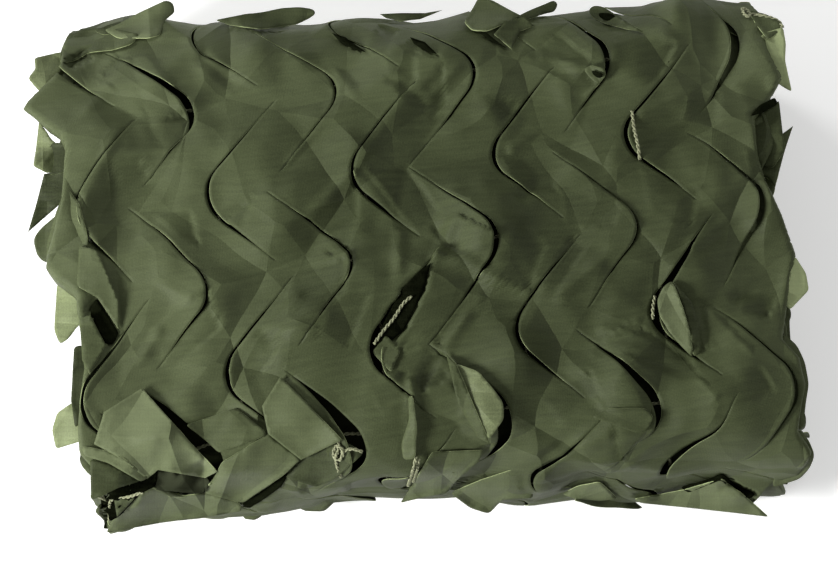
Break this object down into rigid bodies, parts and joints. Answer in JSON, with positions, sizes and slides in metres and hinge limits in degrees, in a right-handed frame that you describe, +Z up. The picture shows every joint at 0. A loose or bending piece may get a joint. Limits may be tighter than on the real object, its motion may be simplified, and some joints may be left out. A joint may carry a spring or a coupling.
{
  "type": "camouflage netting, folded and rolled flat",
  "caption": "Packed bundle of single-colour camouflage netting: slit coated cloth over a twine net, folded to a strip, rolled flat and resting on its broad side.",
  "frame": {"origin": "centre of the bundle's footprint on the surface it lies on", "axes": "+X along the roll's axis, +Y toward the back edge, +Z up"},
  "size_m": [0.3566, 0.2382, 0.1028],
  "materials": {
    "coated_cloth": "satin coating over a fine plain weave",
    "twine": "twisted matte twine"
  },
  "bodies": {
    "root": {"camouflage_cloth": "coated_cloth", "backing_net": "twine"}
  },
  "joints": []
}
